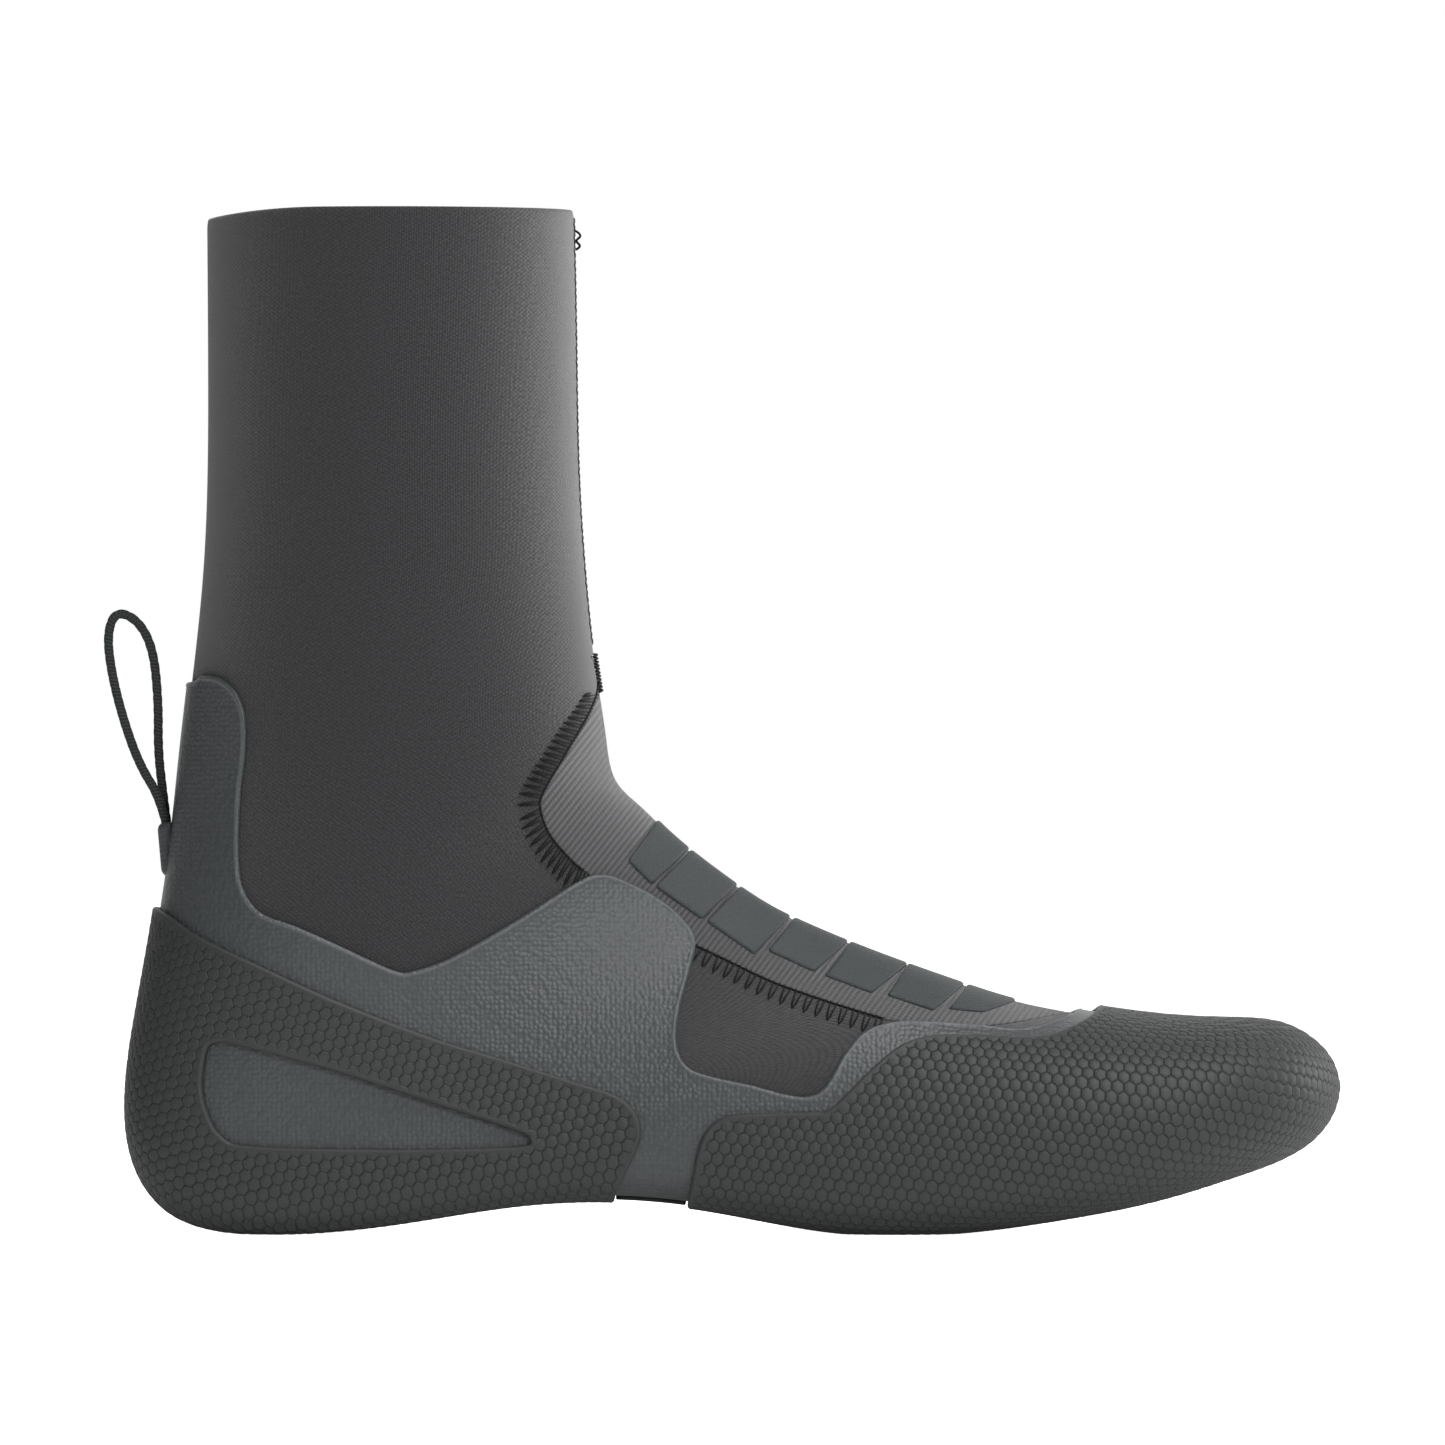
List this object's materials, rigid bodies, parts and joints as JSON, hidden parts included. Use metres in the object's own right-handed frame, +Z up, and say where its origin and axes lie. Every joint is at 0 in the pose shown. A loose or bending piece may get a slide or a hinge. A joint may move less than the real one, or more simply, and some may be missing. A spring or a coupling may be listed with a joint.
{
  "type": "neoprene water-sports boot",
  "caption": "High-cuff neoprene water-sports boot, right foot, with a rubber overlay, embossed heel and toe caps, instep pads and a cord pull loop.",
  "frame": {"origin": "middle of the boot's bounding box at ground level, the pull loop not counted", "axes": "+X toward the toe, +Y to the inner (medial) side of this right boot, +Z up"},
  "size_m": [0.2961, 0.1012, 0.2457],
  "materials": {
    "neoprene_knit": "dark knit-faced neoprene",
    "instep_knit": "lighter ribbed knit-faced neoprene",
    "lining_knit": "brushed knit lining",
    "insole_foam": "foam insole",
    "overlay_rubber": "satin grained rubber",
    "cap_rubber": "matt embossed rubber",
    "pad_rubber": "matt fine-grained rubber",
    "thread": "black thread",
    "braided_cord": "braided cord"
  },
  "bodies": {
    "foot": {"quarter_panel": "neoprene_knit", "instep_panel": "instep_knit", "sole_board": "neoprene_knit", "foot_lining": "lining_knit", "insole": "insole_foam", "rubber_overlay": "overlay_rubber", "heel_cap": "cap_rubber", "toe_cap": "cap_rubber", "arch_strip": "cap_rubber", "instep_pad_1": "pad_rubber", "instep_pad_2": "pad_rubber", "instep_pad_3": "pad_rubber", "instep_pad_4": "pad_rubber", "instep_pad_5": "pad_rubber", "instep_pad_6": "pad_rubber", "instep_pad_7": "pad_rubber", "throat_stitch_lateral": "thread", "throat_stitch_medial": "thread", "instep_stitch_lateral": "thread", "instep_stitch_medial": "thread", "ankle_panel": "neoprene_knit", "instep_throat": "instep_knit", "ankle_lining": "lining_knit", "ankle_stitch_lateral": "thread", "ankle_stitch_medial": "thread", "loop_anchor": "overlay_rubber"},
    "shaft": {"shaft_panel": "neoprene_knit", "shaft_lining": "lining_knit", "front_seam_stitching": "thread"},
    "pull_loop": {"pull_loop": "braided_cord"}
  },
  "joints": [
    {"name": "ankle_flex", "type": "hinge", "parent": "foot", "child": "shaft", "pos_m": [-0.08284, -0.00719, 0.1], "axis": [0, 1, 0], "range_deg": [-10, 18], "stiffness_Nm_per_rad": 0.4, "deforming": ["ankle_panel", "instep_throat", "ankle_lining", "ankle_stitch_lateral", "ankle_stitch_medial"]},
    {"name": "pull_loop_swing", "type": "hinge", "parent": "foot", "child": "pull_loop", "pos_m": [-0.13514, -0.00719, 0.0968], "axis": [0, -1, 0], "range_deg": [-3, 95], "stiffness_Nm_per_rad": 0.005}
  ]
}
